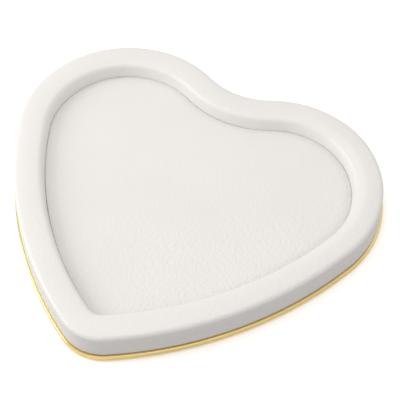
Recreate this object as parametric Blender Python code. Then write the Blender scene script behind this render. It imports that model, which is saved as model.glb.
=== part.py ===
"""Heart-shaped valet tray: a leather-wrapped padded rim and a leather floor panel on a polished metal plate.

Units are metres, +Z is up and +Y points from the heart's tip to its cleft. The origin is the centre of the
tray's box, on the surface that it stands on. Every piece that follows the heart is swept: its section is a
list of (inset, height) points, where the inset is measured inwards from the plate's outer edge.
"""
from math import atan2, cos, hypot, pi, radians, sin, sqrt, tan

import bmesh
import bpy

# Heart outline of the base plate, as arcs that meet tangentially
WIDTH = 0.210
LOBE_CENTRE = 0.213 * WIDTH
LOBE_RADIUS = WIDTH / 2 - LOBE_CENTRE
CLEFT_RADIUS = 0.200 * WIDTH
TIP_CENTRE = 0.500 * WIDTH
TIP_RADIUS = 0.1175 * WIDTH
FLANK_RADIUS = 0.990 * WIDTH

# Heights from the table
GAP = 0.0003
TOTAL_HEIGHT = 0.0200
FELT_THICKNESS = 0.0008
PLATE_THICKNESS = 0.0032
FLOOR_HEIGHT = 0.0108
PLATE_BOTTOM = FELT_THICKNESS + GAP
PLATE_TOP = PLATE_BOTTOM + PLATE_THICKNESS
WRAP_BOTTOM = PLATE_TOP + GAP

# Leather and its turned-in edges, which are pared thinner
LEATHER = 0.0010
TURN_IN = 0.0006
TURN_IN_WIDTH = 0.0058
FOLD_RADIUS = 0.0009

# Rim section
PLATE_LEDGE = 0.0014
SEAM_INSET = 0.0173
WALL_DRAFT = radians(10)
OUTER_SHOULDER = 0.0030
INNER_SHOULDER = 0.0038
CROWN_RADIUS = 0.0210
CROWN_INSET = 0.0086
PADDING_BASE = 0.0162
EDGE_BEVEL = 0.00035

# Floor panel
PANEL_INSET = SEAM_INSET + GAP
PANEL_EDGE_RADIUS = 0.0014
BOARD_THICKNESS = 0.0028

FELT_INSET = 0.0035

# Countersunk wood screws that hold the rim frame to the plate
SCREW_INSET = 0.00935
SCREW_RADIUS = 0.0015
SCREW_LENGTH = 0.0100
SCREW_TIP = 0.0012
SCREW_TIP_RADIUS = 0.0004
HEAD_RADIUS = 0.0027
HEAD_BASE = PLATE_BOTTOM + 0.0002
RECESS_DEPTH = 0.0007
RECESS_RADIUS = 0.00085
RECESS_LOBE = 0.00045
HOLE_CLEARANCE = 0.0003
HOLE_DEPTH = SCREW_LENGTH + 0.0009
LOBE_SCREW_ANGLES = (radians(78), radians(2))
FLANK_SCREW_ANGLE = radians(-40)

SCREW_SIDES = 16
CLEFT_STEPS, FLANK_STEPS, TIP_STEPS = 3, 7, 4
LOBE_STEPS = (3, 9, 3)


def direction(start, end):
    return atan2(end[1] - start[1], end[0] - start[0])


def circles_meet(a, radius_a, b, radius_b):
    """The meeting point of two circles that lies further to the left."""
    span = hypot(b[0] - a[0], b[1] - a[1])
    along = (radius_a ** 2 - radius_b ** 2 + span ** 2) / (2 * span)
    aside = sqrt(radius_a ** 2 - along ** 2)
    ux, uy = (b[0] - a[0]) / span, (b[1] - a[1]) / span
    meets = [(a[0] + ux * along + side * uy * aside, a[1] + uy * along - side * ux * aside) for side in (1, -1)]
    return min(meets)


LOBE = (LOBE_CENTRE, 0.0)
CLEFT = (0.0, sqrt((LOBE_RADIUS + CLEFT_RADIUS) ** 2 - LOBE_CENTRE ** 2))
TIP = (0.0, -TIP_CENTRE)
FLANK = circles_meet(LOBE, FLANK_RADIUS - LOBE_RADIUS, TIP, FLANK_RADIUS - TIP_RADIUS)
MIDDLE = (LOBE_RADIUS - TIP_CENTRE - TIP_RADIUS) / 2


def arc(centre, radius, start, end, steps):
    """Points along an arc, without its last one."""
    angles = [start + (end - start) * step / steps for step in range(steps)]
    return [(centre[0] + radius * cos(angle), centre[1] + radius * sin(angle)) for angle in angles]


def heart_outline(inset):
    """Closed outline, counted from the cleft over the right-hand lobe to the tip and back up the left."""
    lobe_start = direction(LOBE, CLEFT)
    lobe_end = direction(FLANK, LOBE)
    flank_end = direction(FLANK, TIP)
    lobe_angles = (lobe_start, pi / 2, 0.0, lobe_end)
    right = arc(CLEFT, CLEFT_RADIUS + inset, -pi / 2, direction(CLEFT, LOBE), CLEFT_STEPS)
    for start, end, steps in zip(lobe_angles, lobe_angles[1:], LOBE_STEPS):
        right += arc(LOBE, LOBE_RADIUS - inset, start, end, steps)
    right += arc(FLANK, FLANK_RADIUS - inset, lobe_end, flank_end, FLANK_STEPS)
    right += arc(TIP, TIP_RADIUS - inset, flank_end, -pi / 2, TIP_STEPS)
    tip = (0.0, TIP[1] - TIP_RADIUS + inset)
    left = [(-x, y) for x, y in reversed(right[1:])]
    return [(x, y - MIDDLE) for x, y in right + [tip] + left]


def section_arc(centre, radius, start, end, steps):
    """Both ends included, in a section where the inset grows to the right and the height upwards."""
    return arc(centre, radius, start, end, steps) + arc(centre, radius, end, end, 1)


def wall_inset(height, depth):
    """Inset of the rim's sloping inner wall at a height; depth is the distance behind the leather's face."""
    return SEAM_INSET - depth / cos(WALL_DRAFT) - (height - FLOOR_HEIGHT) * tan(WALL_DRAFT)


def rim_section(depth):
    """The rim's skin from the outer shoulder over the crest to the seam, where the inner wall turns upright.

    depth moves the whole line inwards from the leather's face, so it also gives the pieces underneath.
    """
    crown = (CROWN_INSET, TOTAL_HEIGHT - CROWN_RADIUS)
    outer_inset = PLATE_LEDGE + OUTER_SHOULDER
    reach = CROWN_RADIUS - OUTER_SHOULDER
    outer = (outer_inset, crown[1] + sqrt(reach ** 2 - (crown[0] - outer_inset) ** 2))

    # The inner shoulder touches the crown and the sloping wall, whose normal leans up by the draft.
    normal = (cos(WALL_DRAFT), sin(WALL_DRAFT))
    wall_distance = SEAM_INSET * normal[0] + FLOOR_HEIGHT * normal[1]
    out = wall_distance - INNER_SHOULDER - crown[0] * normal[0] - crown[1] * normal[1]
    up = sqrt((CROWN_RADIUS - INNER_SHOULDER) ** 2 - out ** 2)
    inner = (crown[0] + normal[0] * out - normal[1] * up, crown[1] + normal[1] * out + normal[0] * up)

    crown_start = direction(crown, outer)
    crown_end = direction(crown, inner)
    points = section_arc(outer, OUTER_SHOULDER - depth, pi, crown_start, 4)
    points += section_arc(crown, CROWN_RADIUS - depth, crown_start, pi / 2, 2)[1:]
    points += section_arc(crown, CROWN_RADIUS - depth, pi / 2, crown_end, 2)[1:-1]
    points += section_arc(inner, INNER_SHOULDER - depth, crown_end, WALL_DRAFT, 5)
    return points + [(SEAM_INSET - depth, FLOOR_HEIGHT - depth * tan(WALL_DRAFT / 2))]


def rounded_foot(inset, height, toward, radius, steps=3):
    """A quarter fold at a wall's foot; toward is +1 where the turned edge runs to a larger inset."""
    centre = (inset + toward * radius, height + radius)
    start = pi if toward > 0 else 0.0
    return section_arc(centre, radius, start, start + toward * pi / 2, steps)


def sweep(name, section, closed, material):
    """A solid swept round the heart. An open section is capped by flat faces at both of its ends."""
    mesh = bpy.data.meshes.new(name)
    bm = bmesh.new()
    rings = [[bm.verts.new((x, y, height)) for x, y in heart_outline(inset)] for inset, height in section]
    pairs = list(zip(rings, rings[1:]))
    if closed:
        pairs.append((rings[-1], rings[0]))
    else:
        bm.faces.new(rings[0])
        bm.faces.new(rings[-1])
    for lower, upper in pairs:
        for i in range(len(lower)):
            bm.faces.new((lower[i - 1], lower[i], upper[i], upper[i - 1]))
    bmesh.ops.recalc_face_normals(bm, faces=bm.faces)
    bm.to_mesh(mesh)
    bm.free()
    return place(name, mesh, material)


def turned(name, section, material=None, lobes=None):
    """A solid of revolution about Z from (radius, height) points, which start and end on flat round faces.

    lobes gives, for some points, how far their ring swells and shrinks four times round: a cross recess.
    """
    mesh = bpy.data.meshes.new(name)
    bm = bmesh.new()
    angles = [2 * pi * side / SCREW_SIDES for side in range(SCREW_SIDES)]
    rings = []
    for index, (radius, height) in enumerate(section):
        swell = (lobes or {}).get(index, 0.0)
        radii = [radius + swell * cos(4 * angle) for angle in angles]
        rings.append([bm.verts.new((r * cos(a), r * sin(a), height)) for r, a in zip(radii, angles)])
    bm.faces.new(rings[0])
    bm.faces.new(rings[-1])
    for lower, upper in zip(rings, rings[1:]):
        for i in range(SCREW_SIDES):
            bm.faces.new((lower[i - 1], lower[i], upper[i], upper[i - 1]))
    bmesh.ops.recalc_face_normals(bm, faces=bm.faces)
    bm.to_mesh(mesh)
    bm.free()
    if material:
        mesh.materials.append(material)
    return mesh


def place(name, mesh, material=None):
    item = bpy.data.objects.new(name, mesh)
    bpy.context.scene.collection.objects.link(item)
    if material:
        mesh.materials.append(material)
        mesh.shade_smooth()
        mesh.set_sharp_from_angle(angle=radians(35))
    return item


def finish(name, color, roughness, metallic=0.0):
    material = bpy.data.materials.new(name)
    material.use_nodes = True
    shader = material.node_tree.nodes["Principled BSDF"]
    shader.inputs["Base Color"].default_value = (*color, 1.0)
    shader.inputs["Roughness"].default_value = roughness
    shader.inputs["Metallic"].default_value = metallic
    return material


def screw_spots():
    """Two screws in each lobe and one in each flank, all on the rim frame's middle line."""
    right = [(LOBE, LOBE_RADIUS, angle) for angle in LOBE_SCREW_ANGLES]
    right.append((FLANK, FLANK_RADIUS, FLANK_SCREW_ANGLE))
    spots = []
    for centre, radius, angle in right:
        x = centre[0] + (radius - SCREW_INSET) * cos(angle)
        y = centre[1] + (radius - SCREW_INSET) * sin(angle) - MIDDLE
        spots += [(x, y), (-x, y)]
    return spots


def cut_holes(item, cutters):
    for cutter in cutters:
        modifier = item.modifiers.new("hole", "BOOLEAN")
        modifier.operation = "DIFFERENCE"
        modifier.object = cutter


def build_base(spots, cutters):
    felt = finish("suede_felt", (0.62, 0.57, 0.50), 0.95)
    section = [(FELT_INSET, 0.0), (FELT_INSET, FELT_THICKNESS)]
    sweep("base_felt", section, False, felt)

    brass = finish("polished_gold", (0.83, 0.62, 0.26), 0.12, 1.0)
    section = [(EDGE_BEVEL, PLATE_BOTTOM), (0.0, PLATE_BOTTOM + EDGE_BEVEL),
               (0.0, PLATE_TOP - EDGE_BEVEL), (EDGE_BEVEL, PLATE_TOP)]
    cut_holes(sweep("base_plate", section, False, brass), cutters)

    steel = finish("zinc_steel", (0.62, 0.62, 0.63), 0.35, 1.0)
    neck = HEAD_BASE + HEAD_RADIUS - SCREW_RADIUS
    tip = HEAD_BASE + SCREW_LENGTH
    section = [(RECESS_RADIUS * 0.7, HEAD_BASE + RECESS_DEPTH), (RECESS_RADIUS, HEAD_BASE),
               (HEAD_RADIUS, HEAD_BASE), (SCREW_RADIUS, neck),
               (SCREW_RADIUS, tip - SCREW_TIP), (SCREW_TIP_RADIUS, tip)]
    lobes = {0: RECESS_LOBE * 0.7, 1: RECESS_LOBE}
    mesh = turned("base_screw", section, steel, lobes)
    mesh.shade_smooth()
    mesh.set_sharp_from_angle(angle=radians(35))
    for number, (x, y) in enumerate(spots, 1):
        screw = place(f"base_screw_{number}", mesh)
        screw.location = (x, y, 0.0)


def build_rim(cutters):
    under_leather = LEATHER + GAP
    leather = finish("ivory_leather", (0.84, 0.81, 0.76), 0.48)
    skin = rim_section(0.0)
    lining = rim_section(LEATHER)
    outer_inset, inner_inset = PLATE_LEDGE, SEAM_INSET
    turn_top = WRAP_BOTTOM + TURN_IN
    outer_fold = rounded_foot(outer_inset, WRAP_BOTTOM, 1, FOLD_RADIUS)
    inner_fold = rounded_foot(inner_inset, WRAP_BOTTOM, -1, FOLD_RADIUS)
    outer_edge = outer_inset + TURN_IN_WIDTH
    inner_edge = inner_inset - TURN_IN_WIDTH
    section = [(outer_edge, turn_top), (outer_edge, WRAP_BOTTOM)] + outer_fold[::-1] + skin
    section += inner_fold + [(inner_edge, WRAP_BOTTOM), (inner_edge, turn_top)]
    section += [(inner_inset - LEATHER, turn_top)] + lining[::-1] + [(outer_inset + LEATHER, turn_top)]
    sweep("rim_leather", section, True, leather)

    foam = finish("rim_foam", (0.80, 0.74, 0.55), 0.90)
    crest = [point for point in rim_section(under_leather) if point[1] > PADDING_BASE]
    section = [(PLATE_LEDGE + under_leather, PADDING_BASE)] + crest
    section.append((wall_inset(PADDING_BASE, under_leather), PADDING_BASE))
    sweep("rim_padding", section, True, foam)

    board = finish("fibreboard", (0.52, 0.38, 0.24), 0.85)
    frame_top = PADDING_BASE - GAP
    frame_bottom = turn_top + GAP
    outer_face = PLATE_LEDGE + under_leather
    kink = rim_section(under_leather)[-1]
    section = [(outer_face, frame_bottom), (outer_face, frame_top),
               (wall_inset(frame_top, under_leather), frame_top), kink, (kink[0], frame_bottom)]
    cut_holes(sweep("rim_frame", section, True, board), cutters)


def build_floor():
    leather = finish("ivory_floor_leather", (0.85, 0.82, 0.77), 0.50)
    turn_top = WRAP_BOTTOM + TURN_IN
    inner_edge = PANEL_INSET + TURN_IN_WIDTH
    inside = PANEL_INSET + LEATHER
    top_centre = (PANEL_INSET + PANEL_EDGE_RADIUS, FLOOR_HEIGHT - PANEL_EDGE_RADIUS)
    foot = rounded_foot(PANEL_INSET, WRAP_BOTTOM, 1, FOLD_RADIUS)
    section = [(inside, FLOOR_HEIGHT - LEATHER), (inside, turn_top), (inner_edge, turn_top)]
    section += [(inner_edge, WRAP_BOTTOM)] + foot[::-1]
    section += section_arc(top_centre, PANEL_EDGE_RADIUS, pi, pi / 2, 4)
    sweep("floor_leather", section, False, leather)

    board = finish("floor_fibreboard", (0.50, 0.36, 0.23), 0.85)
    edge = inside + GAP
    bottom = turn_top + GAP
    top = bottom + BOARD_THICKNESS
    sweep("floor_board", [(edge, bottom), (edge, top)], False, board)

    foam = finish("floor_foam", (0.80, 0.74, 0.55), 0.90)
    section = [(edge, top + GAP), (edge, FLOOR_HEIGHT - LEATHER - GAP)]
    sweep("floor_padding", section, False, foam)


def hole_cutters(spots):
    """Countersunk through the plate, then blind in the rim frame."""
    radius = SCREW_RADIUS + HOLE_CLEARANCE
    mouth = HEAD_RADIUS + 2 * HOLE_CLEARANCE
    section = [(mouth, PLATE_BOTTOM - GAP), (mouth, PLATE_BOTTOM),
               (radius, PLATE_BOTTOM + mouth - radius), (radius, PLATE_BOTTOM + HOLE_DEPTH)]
    mesh = turned("screw_hole", section)
    cutters = []
    for x, y in spots:
        cutter = place("screw_hole", mesh)
        cutter.location = (x, y, 0.0)
        cutter.hide_render = True
        cutter.display_type = "WIRE"
        cutters.append(cutter)
    return cutters


def main():
    for item in list(bpy.data.objects):
        bpy.data.objects.remove(item, do_unlink=True)
    spots = screw_spots()
    cutters = hole_cutters(spots)
    build_base(spots, cutters)
    build_rim(cutters)
    build_floor()


main()
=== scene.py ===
"""Looks of the heart-shaped leather tray: padded ivory leather on a polished gold plate, in metres.

Each long piece is a section that is drawn once in the plane of the heart's cleft and carried round the arcs
of the heart. In a section a point is (inset, height): the inset is measured inwards from the plate's edge.
"""
from math import atan2, ceil, cos, hypot, pi, radians, sin, sqrt, tan

import bmesh
import bpy
from mathutils import Matrix, Vector, noise


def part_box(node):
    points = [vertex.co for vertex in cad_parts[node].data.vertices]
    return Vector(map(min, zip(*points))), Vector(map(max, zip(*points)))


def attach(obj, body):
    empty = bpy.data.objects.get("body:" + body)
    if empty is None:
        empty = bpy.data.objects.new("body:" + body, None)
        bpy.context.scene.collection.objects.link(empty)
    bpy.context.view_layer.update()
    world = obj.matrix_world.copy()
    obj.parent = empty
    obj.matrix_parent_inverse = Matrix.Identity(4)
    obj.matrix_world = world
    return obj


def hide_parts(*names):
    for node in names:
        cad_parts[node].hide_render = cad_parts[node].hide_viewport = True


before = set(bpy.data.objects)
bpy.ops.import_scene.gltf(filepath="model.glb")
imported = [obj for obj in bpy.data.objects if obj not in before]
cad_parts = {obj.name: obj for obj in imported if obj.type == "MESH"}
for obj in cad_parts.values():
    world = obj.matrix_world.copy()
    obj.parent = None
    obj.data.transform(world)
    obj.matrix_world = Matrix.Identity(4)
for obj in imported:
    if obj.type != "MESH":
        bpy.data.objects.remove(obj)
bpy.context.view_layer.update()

MM = 0.001

# ---------------------------------------------------------------- sizes, from the frame where it has them
PLATE_LOW, PLATE_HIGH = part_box("base_plate")
RIM_LOW, RIM_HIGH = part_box("rim_leather")
PANEL_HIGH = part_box("floor_leather")[1]
FELT_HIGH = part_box("base_felt")[1]
RIM_FOAM_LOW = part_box("rim_padding")[0]
PANEL_FOAM_LOW, PANEL_FOAM_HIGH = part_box("floor_padding")

WIDTH = PLATE_HIGH.x - PLATE_LOW.x
PLATE_BOTTOM, PLATE_TOP = PLATE_LOW.z, PLATE_HIGH.z
WRAP_BOTTOM = RIM_LOW.z
FELT_INSET = PLATE_HIGH.x - FELT_HIGH.x
FELT_TOP = FELT_HIGH.z
SCREWS = [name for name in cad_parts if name.startswith("base_screw")]

# The padding swells a little past the machined shape
RIM_SWELL = 0.4 * MM
PANEL_SWELL = 1.1 * MM
CREST = RIM_HIGH.z + RIM_SWELL
FLOOR_TOP = PANEL_HIGH.z + PANEL_SWELL
LEDGE = PLATE_HIGH.x - RIM_HIGH.x - RIM_SWELL

# Clearances, the seam between rim and floor, and the leather with its pared, turned-in edges
GAP = 0.3 * MM
SEAM_GAP = 0.08 * MM
SEAM_INSET = PLATE_HIGH.x - PANEL_HIGH.x - GAP
PANEL_INSET = SEAM_INSET + SEAM_GAP
LEATHER = 1.0 * MM
TURN_IN = 0.6 * MM
TURN_IN_WIDTH = 5.8 * MM
FOLD = 0.9 * MM

# The heart's arcs, as shares of its width
LOBE_CENTRE = 0.213 * WIDTH
LOBE_RADIUS = WIDTH / 2 - LOBE_CENTRE
CLEFT_RADIUS = 0.200 * WIDTH
TIP_CENTRE = 0.500 * WIDTH
TIP_RADIUS = 0.1175 * WIDTH
FLANK_RADIUS = 0.990 * WIDTH

# Rim section, and the crest's centre line
WALL_DRAFT = radians(10)
OUTER_SHOULDER = 2.6 * MM
INNER_SHOULDER = 2.6 * MM
CROWN_RADIUS = 40.0 * MM
CROWN_INSET = 8.8 * MM

# The inner wall leans back along the right-hand side, and the crest drops to meet it. Round the lobe this
# starts at one angle and is whole at the next, and towards the tip it fades out between two places in Y.
# The lean grows over a share of the crest, and with a power of the height, so most of it is in the foam
LEAN = 2.2 * MM
CREST_DROP = 0.6 * MM
LEAN_START = radians(108)
LEAN_WHOLE = radians(66)
LEAN_END_Y = -75 * MM
LEAN_FADE_Y = 15 * MM
LEAN_REACH = 0.7
LEAN_POWER = 3
DROP_POWER = 2.5
LEAN_LOWEST = FLOOR_TOP + 1 * MM

# Floor panel: a small round at the seam, then a roll that rises to the flat middle
PANEL_EDGE = 0.5 * MM
ROLL_WIDTH = 5.0 * MM
ROLL_SLOPE = radians(22)
MIDDLE_RINGS = 44
MIDDLE_RISE = 0.2 * MM
MIDDLE_CENTRE = Vector((0.0, 12 * MM, 0.0))
FOAM_ROUND = 0.8 * MM

# Plate and felt
PLATE_BEVEL = 0.4 * MM
PLATE_REACH = 6.0 * MM
FELT_ROUND = 0.3 * MM
SCREW_HOLE = 1.8 * MM
SCREW_MOUTH = 3.3 * MM

# Leather surface: slow swells as (length, height), and fine pleats inside the lobes
RIM_RIPPLE = ((16 * MM, 0.10 * MM), (6 * MM, 0.035 * MM))
PANEL_RIPPLE = ((22 * MM, 0.10 * MM), (7 * MM, 0.03 * MM))
RIPPLE_LOWEST = WRAP_BOTTOM + 2 * MM
PLEAT_LENGTH = 1.6 * MM
PLEAT_HEIGHT = 0.20 * MM
PLEAT_BAND = 5 * MM
PLEAT_PAST_SEAM = 0.5 * MM
GATHER_RATE = 2.2
GATHER_ROW = 4.0
GATHER_SHARE = 0.35

# Fineness of the meshes: length of a step along the heart, and steps in each round and wall of a section
STEP = 1.1 * MM
SHOULDER_STEPS = 7
CROWN_STEPS = 6
FOLD_STEPS = 4
SMALL_STEPS = 3
OUTER_WALL_CUTS = 9
INNER_WALL_CUTS = 8
HIDDEN_WALL_CUTS = 3
ROLL_STEPS = 8
FOAM_STEPS = 5
SCREW_SIDES = 32
SHARP_ANGLE = radians(40)
MERGE = 0.01 * MM


# ---------------------------------------------------------------- the heart's path
def heading(start, end):
    return atan2(end[1] - start[1], end[0] - start[0])


def circles_meet(a, radius_a, b, radius_b):
    """The more left-hand of the two points where two circles meet."""
    span = hypot(b[0] - a[0], b[1] - a[1])
    along = (radius_a ** 2 - radius_b ** 2 + span ** 2) / (2 * span)
    aside = sqrt(radius_a ** 2 - along ** 2)
    ux, uy = (b[0] - a[0]) / span, (b[1] - a[1]) / span
    foot = (a[0] + ux * along, a[1] + uy * along)
    return min((foot[0] + side * uy * aside, foot[1] - side * ux * aside) for side in (1, -1))


MIDDLE = (LOBE_RADIUS - TIP_CENTRE - TIP_RADIUS) / 2
LOBE = (LOBE_CENTRE, -MIDDLE)
CLEFT = (0.0, sqrt((LOBE_RADIUS + CLEFT_RADIUS) ** 2 - LOBE_CENTRE ** 2) - MIDDLE)
TIP = (0.0, -TIP_CENTRE - MIDDLE)
FLANK = circles_meet(LOBE, FLANK_RADIUS - LOBE_RADIUS, TIP, FLANK_RADIUS - TIP_RADIUS)
CLEFT_EDGE = CLEFT[1] - CLEFT_RADIUS

# Each arc of the right-hand half: centre, radius of the plate's edge, and angle that the section turns
HEART_ARCS = (
    (CLEFT, CLEFT_RADIUS, heading(CLEFT, LOBE) + pi / 2),
    (LOBE, LOBE_RADIUS, heading(FLANK, LOBE) - heading(LOBE, CLEFT)),
    (FLANK, FLANK_RADIUS, heading(FLANK, TIP) - heading(FLANK, LOBE)),
    (TIP, TIP_RADIUS, -pi / 2 - heading(FLANK, TIP)),
)


def at(point):
    """A section's point in the cleft's plane."""
    return Vector((0.0, CLEFT_EDGE - point[0], point[1]))


def line(point, cuts=1):
    """A straight run to a point, in equal cuts."""
    return ("line", point, 0.0, cuts)


def turn(centre, start, end, steps):
    """A round about a centre, from one heading to another."""
    return ("turn", centre, end - start, steps)


def draw(bm, start, moves, close=False):
    """Draws a section with one moving vertex: straight runs by extruding it, rounds by spinning it."""
    first = pen = bm.verts.new(at(start))
    for kind, place, angle, steps in moves:
        if kind == "line":
            goal = at(place)
            stride = (goal - pen.co) / steps
            for _ in range(steps):
                pen = bmesh.ops.extrude_vert_indiv(bm, verts=[pen])["verts"][0]
                pen.co += stride
        else:
            spun = bmesh.ops.spin(bm, geom=[pen], cent=at(place), axis=(-1, 0, 0), angle=angle, steps=steps)
            pen = next(item for item in spun["geom_last"] if isinstance(item, bmesh.types.BMVert))
    if close:
        bmesh.ops.contextual_create(bm, geom=[pen, first])


def carry_round(bm):
    """Carries the drawn section round the right-hand half of the heart and mirrors it."""
    edge = bm.verts[:] + bm.edges[:]
    for centre, radius, angle in HEART_ARCS:
        steps = ceil(abs(angle) * radius / STEP)
        spun = bmesh.ops.spin(bm, geom=edge, cent=(*centre, 0), axis=(0, 0, 1), angle=angle, steps=steps)
        edge = spun["geom_last"]
    bmesh.ops.mirror(bm, geom=bm.verts[:] + bm.edges[:] + bm.faces[:], merge_dist=MERGE, axis="X")
    bmesh.ops.recalc_face_normals(bm, faces=bm.faces)


def cap(bm):
    """Closes the open loops with flat faces."""
    open_edges = [edge for edge in bm.edges if edge.is_boundary]
    bmesh.ops.holes_fill(bm, edges=open_edges, sides=0)
    bmesh.ops.recalc_face_normals(bm, faces=bm.faces)


def finish_piece(bm, name, material, node_name):
    """Makes the piece's object, hangs it on the root body and hides the CAD node that it stands for."""
    mesh = bpy.data.meshes.new(name)
    bm.to_mesh(mesh)
    bm.free()
    mesh.materials.append(material)
    mesh.shade_smooth()
    mesh.set_sharp_from_angle(angle=SHARP_ANGLE)
    piece = bpy.data.objects.new(name, mesh)
    bpy.context.scene.collection.objects.link(piece)
    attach(piece, "root")
    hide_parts(node_name)
    return piece


# ---------------------------------------------------------------- leather surface
def ripple(bm, waves, lowest):
    """Moves the leather's skin along its normals, as a hide does that was pulled over foam by hand."""
    bm.normal_update()
    for vert in bm.verts:
        if vert.co.z > lowest:
            swell = sum(height * noise.noise(vert.co / length) for length, height in waves)
            vert.co += vert.normal * swell


def smooth_step(value, start, end):
    """Goes smoothly from 0 at the start to 1 at the end."""
    share = min(max((value - start) / (end - start), 0.0), 1.0)
    return share * share * (3 - 2 * share)


def lean_back(bm, lowest):
    """Leans the inner wall back along the right-hand side and rolls the crest down to it."""
    corner = heading(FLANK, LOBE)
    for vert in bm.verts:
        x, y, z = vert.co
        if x < 0 or z < lowest:
            continue
        angle = atan2(y - LOBE[1], x - LOBE[0])
        centre, radius = (LOBE, LOBE_RADIUS) if angle > corner else (FLANK, FLANK_RADIUS)
        away = hypot(x - centre[0], y - centre[1])
        across = (radius - away - CROWN_INSET) / (SEAM_INSET - CROWN_INSET)
        if 0 < across < 1:
            share = smooth_step(angle, LEAN_START, LEAN_WHOLE) * smooth_step(y, LEAN_END_Y, LEAN_FADE_Y)
            height_share = (z - FLOOR_TOP) / (CREST - FLOOR_TOP)
            lean = LEAN * share * height_share ** LEAN_POWER * smooth_step(across, 0.0, LEAN_REACH)
            vert.co.x += (x - centre[0]) / away * lean
            vert.co.y += (y - centre[1]) / away * lean
            vert.co.z -= CREST_DROP * share * sin(pi * across ** DROP_POWER) ** 2


def pleat(bm):
    """Gathers the leather in fine upright pleats where it goes down inside the tight curve of each lobe."""
    bottom = FLOOR_TOP
    top = RIM_HIGH.z - INNER_SHOULDER / 2
    for vert in bm.verts:
        x, y, z = vert.co
        away = hypot(abs(x) - LOBE[0], y - LOBE[1])
        inset = LOBE_RADIUS - away
        on_the_wall = SEAM_INSET - PLEAT_BAND < inset < SEAM_INSET + PLEAT_PAST_SEAM and bottom < z < top
        if on_the_wall and y > LOBE[1]:
            angle = atan2(y - LOBE[1], abs(x) - LOBE[0])
            along = Vector((angle * away / PLEAT_LENGTH, 0.0, x / WIDTH))
            slow = noise.noise(Vector((angle * GATHER_RATE, GATHER_ROW, x / WIDTH)))
            gather = max(slow + GATHER_SHARE, 0.0)
            fade = sin(pi * (z - bottom) / (top - bottom))
            vert.co += vert.normal * PLEAT_HEIGHT * fade * gather * noise.noise(along)


# ---------------------------------------------------------------- rim
def rim_rounds():
    """Centres of the outer shoulder, the crown and the inner shoulder, and the angles where they meet."""
    crown = (CROWN_INSET, CREST - CROWN_RADIUS)
    outer_inset = LEDGE + OUTER_SHOULDER
    reach = CROWN_RADIUS - OUTER_SHOULDER
    outer = (outer_inset, crown[1] + sqrt(reach ** 2 - (crown[0] - outer_inset) ** 2))
    normal = (cos(WALL_DRAFT), sin(WALL_DRAFT))
    wall = SEAM_INSET * normal[0] + FLOOR_TOP * normal[1]
    out = wall - INNER_SHOULDER - crown[0] * normal[0] - crown[1] * normal[1]
    up = sqrt((CROWN_RADIUS - INNER_SHOULDER) ** 2 - out ** 2)
    inner = (crown[0] + normal[0] * out - normal[1] * up, crown[1] + normal[1] * out + normal[0] * up)
    return outer, crown, inner, heading(crown, outer), heading(crown, inner)


OUTER_ROUND, CROWN_ROUND, INNER_ROUND, CROWN_START, CROWN_END = rim_rounds()

# Moves from the top of the outer wall to the top of the inner wall, and back for the leather's underside
OVER_THE_RIM = [
    turn(OUTER_ROUND, pi, CROWN_START, SHOULDER_STEPS),
    turn(CROWN_ROUND, CROWN_START, CROWN_END, CROWN_STEPS),
    turn(INNER_ROUND, CROWN_END, WALL_DRAFT, SHOULDER_STEPS),
]
BACK_OVER_THE_RIM = [(kind, centre, -angle, steps) for kind, centre, angle, steps in reversed(OVER_THE_RIM)]


def inner_wall(height, depth):
    """Inset of the inner wall at a height, that deep under the leather's face."""
    return SEAM_INSET - depth / cos(WALL_DRAFT) - (height - FLOOR_TOP) * tan(WALL_DRAFT)


def build_rim_wrap(material):
    """The leather from its edge under the outer wall, over the crest, to its edge under the inner wall."""
    turn_top = WRAP_BOTTOM + TURN_IN
    foot = WRAP_BOTTOM + FOLD
    outer_edge = LEDGE + TURN_IN_WIDTH
    inner_edge = SEAM_INSET - TURN_IN_WIDTH
    top_of_wall = INNER_ROUND[1] + (INNER_SHOULDER - LEATHER) * sin(WALL_DRAFT)
    moves = [
        line((outer_edge, WRAP_BOTTOM)),
        line((LEDGE + FOLD, WRAP_BOTTOM), 2),
        turn((LEDGE + FOLD, foot), 1.5 * pi, pi, FOLD_STEPS),
        line((LEDGE, OUTER_ROUND[1]), OUTER_WALL_CUTS),
        *OVER_THE_RIM,
        line((SEAM_INSET, FLOOR_TOP), INNER_WALL_CUTS),
        line((SEAM_INSET, foot), HIDDEN_WALL_CUTS),
        turn((SEAM_INSET - FOLD, foot), 0.0, -pi / 2, SMALL_STEPS),
        line((inner_edge, WRAP_BOTTOM)),
        line((inner_edge, turn_top)),
        line((SEAM_INSET - LEATHER, turn_top)),
        line((SEAM_INSET - LEATHER, FLOOR_TOP - LEATHER * tan(WALL_DRAFT / 2))),
        line((inner_wall(top_of_wall, LEATHER), top_of_wall)),
        *BACK_OVER_THE_RIM,
        line((LEDGE + LEATHER, turn_top)),
    ]
    bm = bmesh.new()
    draw(bm, (outer_edge, turn_top), moves, close=True)
    carry_round(bm)
    lean_back(bm, LEAN_LOWEST)
    ripple(bm, RIM_RIPPLE, RIPPLE_LOWEST)
    pleat(bm)
    piece = finish_piece(bm, "rim_wrap", material, "rim_leather")


def build_rim_foam(material):
    """The strip of foam under the leather's crown, on top of the rim frame."""
    depth = LEATHER + GAP
    base = RIM_FOAM_LOW.z
    top_of_wall = INNER_ROUND[1] + (INNER_SHOULDER - depth) * sin(WALL_DRAFT)
    moves = [
        line((LEDGE + depth, OUTER_ROUND[1])),
        *OVER_THE_RIM,
        line((inner_wall(base, depth), base)),
    ]
    bm = bmesh.new()
    draw(bm, (LEDGE + depth, base), moves, close=True)
    carry_round(bm)
    lean_back(bm, RIM_FOAM_LOW.z + MERGE)
    piece = finish_piece(bm, "rim_foam", material, "rim_padding")


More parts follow.
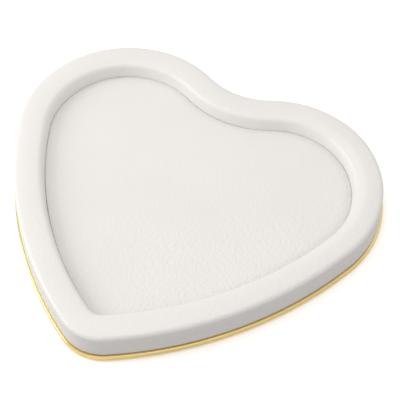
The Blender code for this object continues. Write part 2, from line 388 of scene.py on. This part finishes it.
# ---------------------------------------------------------------- floor panel
def fill_middle(bm, height):
    """Fills the loop at a height with rings that shrink to the middle and rise a little."""
    about_centre = Matrix.Translation(-MIDDLE_CENTRE)
    open_edges = [edge for edge in bm.edges if edge.is_boundary]
    loop = [edge for edge in open_edges if all(abs(vert.co.z - height) < MERGE for vert in edge.verts)]
    for ring in range(MIDDLE_RINGS, 1, -1):
        grown = bmesh.ops.extrude_edge_only(bm, edges=loop)["geom"]
        verts = [item for item in grown if isinstance(item, bmesh.types.BMVert)]
        shrink = (ring - 1) / ring
        rise = MIDDLE_RISE * 2 * (ring - 1) / MIDDLE_RINGS ** 2
        bmesh.ops.scale(bm, vec=(shrink, shrink, 1.0), verts=verts, space=about_centre)
        bmesh.ops.translate(bm, vec=(0, 0, rise), verts=verts)
        loop = [item for item in grown if isinstance(item, bmesh.types.BMEdge)]
    bmesh.ops.holes_fill(bm, edges=loop, sides=0)


def roll(inset, height):
    """Round at the seam, then the long roll up to the flat middle, and its height there."""
    radius = ROLL_WIDTH / sin(ROLL_SLOPE)
    edge_end = (inset + PANEL_EDGE * (1 - sin(ROLL_SLOPE)), height + PANEL_EDGE * cos(ROLL_SLOPE))
    crown = (edge_end[0] + ROLL_WIDTH, edge_end[1] - radius * cos(ROLL_SLOPE))
    moves = [
        turn((inset + PANEL_EDGE, height), pi, pi / 2 + ROLL_SLOPE, FOLD_STEPS),
        turn(crown, pi / 2 + ROLL_SLOPE, pi / 2, ROLL_STEPS),
    ]
    return moves, crown[1] + radius


def build_floor_pad(material):
    """The floor's leather, with its edges turned in under the board."""
    foot = WRAP_BOTTOM + FOLD
    turn_top = WRAP_BOTTOM + TURN_IN
    inner_edge = PANEL_INSET + TURN_IN_WIDTH
    inside = PANEL_INSET + LEATHER
    roll_moves, top = roll(PANEL_INSET, FLOOR_TOP - PANEL_EDGE)
    moves = [
        line((inside, turn_top)),
        line((inner_edge, turn_top)),
        line((inner_edge, WRAP_BOTTOM)),
        line((PANEL_INSET + FOLD, WRAP_BOTTOM), 2),
        turn((PANEL_INSET + FOLD, foot), 1.5 * pi, pi, SMALL_STEPS),
        line((PANEL_INSET, FLOOR_TOP - PANEL_EDGE), HIDDEN_WALL_CUTS),
        *roll_moves,
    ]
    bm = bmesh.new()
    draw(bm, (inside, FLOOR_TOP - LEATHER), moves)
    carry_round(bm)
    fill_middle(bm, top)
    cap(bm)
    ripple(bm, PANEL_RIPPLE, FLOOR_TOP - PANEL_EDGE)
    piece = finish_piece(bm, "floor_pad", material, "floor_leather")


def build_floor_foam(material):
    """The thin foam between the floor board and the leather."""
    inset = PLATE_HIGH.x - PANEL_FOAM_HIGH.x
    shoulder = PANEL_FOAM_HIGH.z + PANEL_SWELL - FOAM_ROUND
    moves = [
        line((inset, shoulder)),
        turn((inset + FOAM_ROUND, shoulder), pi, pi / 2, FOAM_STEPS),
    ]
    bm = bmesh.new()
    draw(bm, (inset, PANEL_FOAM_LOW.z), moves)
    carry_round(bm)
    cap(bm)
    piece = finish_piece(bm, "floor_foam", material, "floor_padding")


# ---------------------------------------------------------------- plate and felt
def cut_screw_holes(piece):
    """Countersunk holes where the frame has its screws."""
    bm = bmesh.new()
    foot = PLATE_BOTTOM - GAP
    neck = PLATE_BOTTOM + SCREW_MOUTH - SCREW_HOLE
    for name in SCREWS:
        low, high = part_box(name)
        place = Matrix.Translation(((low.x + high.x) / 2, (low.y + high.y) / 2, (foot + neck) / 2))
        bmesh.ops.create_cone(bm, cap_ends=True, segments=SCREW_SIDES, radius1=SCREW_MOUTH + GAP,
                              radius2=SCREW_HOLE, depth=neck - foot, matrix=place)
    necks = [face for face in bm.faces if all(vert.co.z > neck - MERGE for vert in face.verts)]
    grown = bmesh.ops.extrude_discrete_faces(bm, faces=necks)["faces"]
    shafts = {vert for face in grown for vert in face.verts}
    bmesh.ops.translate(bm, vec=(0, 0, PLATE_TOP + GAP - neck), verts=list(shafts))
    mesh = bpy.data.meshes.new("screw_holes")
    bm.to_mesh(mesh)
    bm.free()
    cutter = bpy.data.objects.new("screw_holes", mesh)
    bpy.context.scene.collection.objects.link(cutter)
    holes = piece.modifiers.new("holes", "BOOLEAN")
    holes.operation = "DIFFERENCE"
    holes.object = cutter
    graph = bpy.context.evaluated_depsgraph_get()
    drilled = bpy.data.meshes.new_from_object(piece.evaluated_get(graph))
    piece.modifiers.clear()
    piece.data = drilled
    bpy.data.objects.remove(cutter)


def build_plate(material):
    """The plate with its eased edges and its screw holes."""
    bevel = PLATE_BEVEL
    moves = [
        line((bevel, PLATE_BOTTOM)),
        turn((bevel, PLATE_BOTTOM + bevel), 1.5 * pi, pi, FOLD_STEPS),
        line((0.0, PLATE_TOP - bevel), 2),
        turn((bevel, PLATE_TOP - bevel), pi, pi / 2, FOLD_STEPS),
        line((PLATE_REACH, PLATE_TOP)),
    ]
    bm = bmesh.new()
    draw(bm, (PLATE_REACH, PLATE_BOTTOM), moves)
    carry_round(bm)
    cap(bm)
    piece = finish_piece(bm, "gold_plate", material, "base_plate")
    cut_screw_holes(piece)


def build_felt(material):
    """The felt that the tray stands on."""
    edge = FELT_INSET + FELT_ROUND
    moves = [
        turn((edge, FELT_ROUND), 1.5 * pi, pi, SMALL_STEPS),
        line((FELT_INSET, FELT_TOP - FELT_ROUND)),
        turn((edge, FELT_TOP - FELT_ROUND), pi, pi / 2, SMALL_STEPS),
    ]
    bm = bmesh.new()
    draw(bm, (edge, 0.0), moves)
    carry_round(bm)
    cap(bm)
    finish_piece(bm, "felt_pad", material, "base_felt")


# ---------------------------------------------------------------- materials
# Pebble grain: the noises' scales are per metre
WARP_SCALE = 240.0
WARP_REACH = 1.8 * MM
PORE_SCALE = 900.0
PORE_SHARE = 0.25
CELL_SMOOTHNESS = 0.8
TONE_SCALE = 28.0

# Leather: how glossy it is, and the direction across the heart in which its grain gets looser
LEATHER_ROUGHNESS = (0.36, 0.46)
LEATHER_GLOSS = 0.5
LOOSER_TOWARDS = (5.0, -7.0, 0.0)

# Where the two tones of a finish begin and end in its noise
TONES_FROM, TONES_TO = 0.3, 0.7
ROUGH_SPREAD = 0.15


def node(tree, kind, inputs=None, **settings):
    """Adds a node; an input is given a value, or a socket to link it from."""
    made = tree.nodes.new(kind)
    for name, value in settings.items():
        setattr(made, name, value)
    for name, value in (inputs or {}).items():
        socket = made.inputs[name]
        if isinstance(value, bpy.types.NodeSocket):
            tree.links.new(value, socket)
        else:
            socket.default_value = value
    return made


def math(tree, operation, *values):
    made = node(tree, "ShaderNodeMath", dict(enumerate(values)), operation=operation)
    return made.outputs[0]


def vector_math(tree, operation, inputs):
    made = node(tree, "ShaderNodeVectorMath", inputs, operation=operation)
    return made.outputs[0]


def pebble_grain():
    """A fine pebble grain: the height of small rounded cells with pores, and a slower noise for tone."""
    group = bpy.data.node_groups.new("pebble_grain", "ShaderNodeTree")
    group.interface.new_socket("Vector", in_out="INPUT", socket_type="NodeSocketVector")
    group.interface.new_socket("Pitch", in_out="INPUT", socket_type="NodeSocketFloat")
    group.interface.new_socket("Height", in_out="OUTPUT", socket_type="NodeSocketFloat")
    group.interface.new_socket("Tone", in_out="OUTPUT", socket_type="NodeSocketFloat")
    given = group.nodes.new("NodeGroupInput")
    out = group.nodes.new("NodeGroupOutput")
    place = given.outputs["Vector"]
    warp = node(group, "ShaderNodeTexNoise", {"Vector": place, "Scale": WARP_SCALE, "Detail": 2.0})
    centred = vector_math(group, "SUBTRACT", {0: warp.outputs["Color"], 1: (0.5, 0.5, 0.5)})
    shift = vector_math(group, "SCALE", {0: centred, "Scale": WARP_REACH})
    bent = vector_math(group, "ADD", {0: place, 1: shift})
    scale = math(group, "DIVIDE", 1.0, given.outputs["Pitch"])
    cell_inputs = {"Vector": bent, "Scale": scale, "Smoothness": CELL_SMOOTHNESS}
    cells = node(group, "ShaderNodeTexVoronoi", cell_inputs, feature="SMOOTH_F1")
    pores = node(group, "ShaderNodeTexNoise", {"Vector": bent, "Scale": PORE_SCALE, "Detail": 2.0})
    dome = math(group, "SUBTRACT", 1.0, cells.outputs["Distance"])
    height = math(group, "MULTIPLY_ADD", pores.outputs["Fac"], PORE_SHARE, dome)
    slow = node(group, "ShaderNodeTexNoise", {"Vector": place, "Scale": TONE_SCALE, "Detail": 3.0})
    group.links.new(height, out.inputs["Height"])
    group.links.new(slow.outputs["Fac"], out.inputs["Tone"])
    return group


GRAIN = pebble_grain()


def principled(name):
    """A new material with its node tree and its shader."""
    material = bpy.data.materials.new(name)
    material.use_nodes = True
    tree = material.node_tree
    return material, tree, tree.nodes["Principled BSDF"]


def two_tones(tree, value, dark, light):
    """A colour that runs from one tone to the other as a noise does."""
    ramp = node(tree, "ShaderNodeValToRGB", {"Fac": value})
    first, last = ramp.color_ramp.elements
    first.position = TONES_FROM
    first.color = (*dark, 1)
    last.position = TONES_TO
    last.color = (*light, 1)
    return ramp.outputs["Color"]


def between(tree, value, low, high, **settings):
    """Maps a value from 0 to 1 onto a range."""
    made = node(tree, "ShaderNodeMapRange", {"Value": value, "To Min": low, "To Max": high}, **settings)
    return made.outputs["Result"]


def relief(tree, shader, height, depth):
    """Turns a height into the shader's bump, that deep."""
    bump = node(tree, "ShaderNodeBump", {"Strength": 1.0, "Distance": depth, "Height": height})
    tree.links.new(bump.outputs["Normal"], shader.inputs["Normal"])


def leather(name, light, dark, pitch, depth, smooth_share):
    """Pebbled leather, stretched smoother towards the left-hand lobe of the heart."""
    material, tree, shader = principled(name)
    place = node(tree, "ShaderNodeTexCoord").outputs["Object"]
    grain = node(tree, "ShaderNodeGroup", node_tree=GRAIN)
    tree.links.new(place, grain.inputs["Vector"])
    grain.inputs["Pitch"].default_value = pitch
    tone = grain.outputs["Tone"]
    tree.links.new(two_tones(tree, tone, dark, light), shader.inputs["Base Color"])
    tree.links.new(between(tree, tone, *LEATHER_ROUGHNESS), shader.inputs["Roughness"])
    across = node(tree, "ShaderNodeVectorMath", {0: place, 1: LOOSER_TOWARDS}, operation="DOT_PRODUCT")
    drift = math(tree, "ADD", across.outputs["Value"], tone)
    loose = between(tree, drift, smooth_share, 1.0, interpolation_type="SMOOTHSTEP")
    relief(tree, shader, math(tree, "MULTIPLY", grain.outputs["Height"], loose), depth)
    shader.inputs["Specular IOR Level"].default_value = LEATHER_GLOSS
    return material


def speckled(name, color, roughness, scale, spread, metallic=0.0, depth=0.0):
    """A finish with a fine speckle in its colour and roughness, and in its relief if a depth is given."""
    material, tree, shader = principled(name)
    place = node(tree, "ShaderNodeTexCoord").outputs["Object"]
    noises = node(tree, "ShaderNodeTexNoise", {"Vector": place, "Scale": scale, "Detail": 4.0})
    speckle = noises.outputs["Fac"]
    low = [channel * (1 - spread) for channel in color]
    high = [min(channel * (1 + spread), 1.0) for channel in color]
    rough = between(tree, speckle, roughness * (1 - ROUGH_SPREAD), min(roughness * (1 + ROUGH_SPREAD), 1.0))
    tree.links.new(two_tones(tree, speckle, low, high), shader.inputs["Base Color"])
    tree.links.new(rough, shader.inputs["Roughness"])
    shader.inputs["Metallic"].default_value = metallic
    if depth:
        relief(tree, shader, speckle, depth)
    return material


PALE_IVORY = (0.775, 0.75, 0.72)
DEEP_IVORY = (0.755, 0.73, 0.70)
PITCH = 1.7 * MM
IVORY = leather("ivory_leather", PALE_IVORY, DEEP_IVORY, PITCH, 0.14 * MM, 0.60)
IVORY_FLOOR = leather("ivory_floor_leather", PALE_IVORY, DEEP_IVORY, PITCH, 0.28 * MM, 0.12)
GOLD = speckled("polished_gold", (0.90, 0.69, 0.28), 0.11, scale=300.0, spread=0.02, metallic=1.0)
FELT = speckled("grey_felt", (0.42, 0.39, 0.35), 0.95, scale=2200.0, spread=0.25, depth=0.3 * MM)
BOARD = speckled("fibreboard", (0.45, 0.32, 0.20), 0.85, scale=1500.0, spread=0.2, depth=0.1 * MM)
FOAM = speckled("foam", (0.78, 0.72, 0.52), 0.9, scale=1800.0, spread=0.1, depth=0.3 * MM)
STEEL = speckled("zinc_steel", (0.60, 0.60, 0.62), 0.35, scale=900.0, spread=0.08, metallic=1.0)


def dress(name, material):
    """Gives a kept CAD node its finish."""
    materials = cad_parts[name].data.materials
    materials.clear()
    materials.append(material)


build_rim_wrap(IVORY)
build_rim_foam(FOAM)
build_floor_pad(IVORY_FLOOR)
build_floor_foam(FOAM)
build_plate(GOLD)
build_felt(FELT)
for screw in SCREWS:
    dress(screw, STEEL)
for board in ("rim_frame", "floor_board"):
    dress(board, BOARD)


# ---------------------------------------------------------------- stage, light and camera
# Camera: how far round the tray and how high it stands, its distance and target, lens and roll
AZIMUTH = radians(27.67)
ELEVATION = radians(53.19)
DISTANCE = 3.81 * WIDTH
TARGET = Vector((0.0418 * WIDTH, 0.0945 * WIDTH, PLATE_BOTTOM))
LENS = 132.0
SENSOR = 36.0
ROLL = radians(-0.82)
NEAREST = 10 * MM

# Sky and table: the bounce is what the table throws back on the tray, the glow is for the camera only
SKY = 0.84
BACKDROP = 1.0
TABLE_HALF = 4.0
TABLE_WHITE = (0.93, 0.93, 0.93)
TABLE_BOUNCE = 0.35
TABLE_GLOW = 0.26
WHITE = (1, 1, 1, 1)

# Soft boxes: how far right, away and up each stands as the camera looks, its distance, side and power
SOFT_BOXES = (
    ("left", (-0.90, 0.10, 0.43), 0.75, 0.40, 2.35),
    ("right", (0.906, 0.0, 0.423), 1.2, 0.7, 0.35),
    ("overhead", (0.0, 0.001, 1.0), 1.2, 0.7, 1.7),
)


def from_view(right, away, up):
    """A direction given as the camera stands, turned into the tray's own axes."""
    return Matrix.Rotation(AZIMUTH, 3, "Z") @ Vector((right, away, up))


def aim(item, place, target):
    """Puts a light or the camera at a place, looking at a target."""
    item.location = place
    item.rotation_euler = (target - place).to_track_quat("-Z", "Y").to_euler()
    bpy.context.scene.collection.objects.link(item)


def soft_box(name, direction, distance, size, power):
    """A square soft box that looks at the tray."""
    light = bpy.data.lights.new(name, "AREA")
    light.shape = "SQUARE"
    light.size = size
    light.energy = power
    place = from_view(*direction).normalized() * distance
    aim(bpy.data.objects.new(name, light), place, Vector((0, 0, 0)))


def swap_for(tree, ray, usual, special):
    """One shader as a rule, and another for one kind of ray."""
    path = node(tree, "ShaderNodeLightPath")
    mix = node(tree, "ShaderNodeMixShader", {0: path.outputs[ray], 1: usual, 2: special})
    out = next(item for item in tree.nodes if item.type.startswith("OUTPUT"))
    tree.links.new(mix.outputs[0], out.inputs[0])
    return mix.outputs[0]


def build_table():
    """A white table that glows a little to the camera and throws little light back on the tray's sides."""
    bm = bmesh.new()
    bmesh.ops.create_grid(bm, x_segments=1, y_segments=1, size=TABLE_HALF)
    mesh = bpy.data.meshes.new("floor")
    bm.to_mesh(mesh)
    bm.free()
    white = speckled("white_floor", TABLE_WHITE, 0.8, scale=3.0, spread=0.005)
    tree = white.node_tree
    shader = tree.nodes["Principled BSDF"]
    grey = node(tree, "ShaderNodeBsdfDiffuse", {"Color": (TABLE_BOUNCE, TABLE_BOUNCE, TABLE_BOUNCE, 1)})
    glow = node(tree, "ShaderNodeEmission", {"Color": WHITE, "Strength": TABLE_GLOW})
    lit = node(tree, "ShaderNodeAddShader", {0: shader.outputs[0], 1: glow.outputs[0]})
    plain = swap_for(tree, "Is Camera Ray", shader.outputs[0], lit.outputs[0])
    swap_for(tree, "Is Diffuse Ray", plain, grey.outputs[0])
    mesh.materials.append(white)
    floor = bpy.data.objects.new("floor", mesh)
    bpy.context.scene.collection.objects.link(floor)


def build_sky():
    """Even white light all round, and a pure white backdrop behind the table."""
    world = bpy.data.worlds.new("studio")
    bpy.context.scene.world = world
    world.use_nodes = True
    tree = world.node_tree
    sky = tree.nodes["Background"]
    sky.inputs["Color"].default_value = WHITE
    sky.inputs["Strength"].default_value = SKY
    backdrop = node(tree, "ShaderNodeBackground", {"Color": WHITE, "Strength": BACKDROP})
    swap_for(tree, "Is Camera Ray", sky.outputs[0], backdrop.outputs[0])


def build_camera():
    camera = bpy.data.cameras.new("camera")
    camera.lens = LENS
    camera.sensor_width = SENSOR
    camera.clip_start = NEAREST
    holder = bpy.data.objects.new("camera", camera)
    back = from_view(0.0, -cos(ELEVATION), sin(ELEVATION))
    aim(holder, TARGET + back * DISTANCE, TARGET)
    holder.rotation_euler = (holder.rotation_euler.to_matrix() @ Matrix.Rotation(ROLL, 3, "Z")).to_euler()
    bpy.context.scene.camera = holder


build_table()
build_sky()
build_camera()
for box in SOFT_BOXES:
    soft_box(*box)
bpy.context.scene.view_settings.view_transform = "Standard"
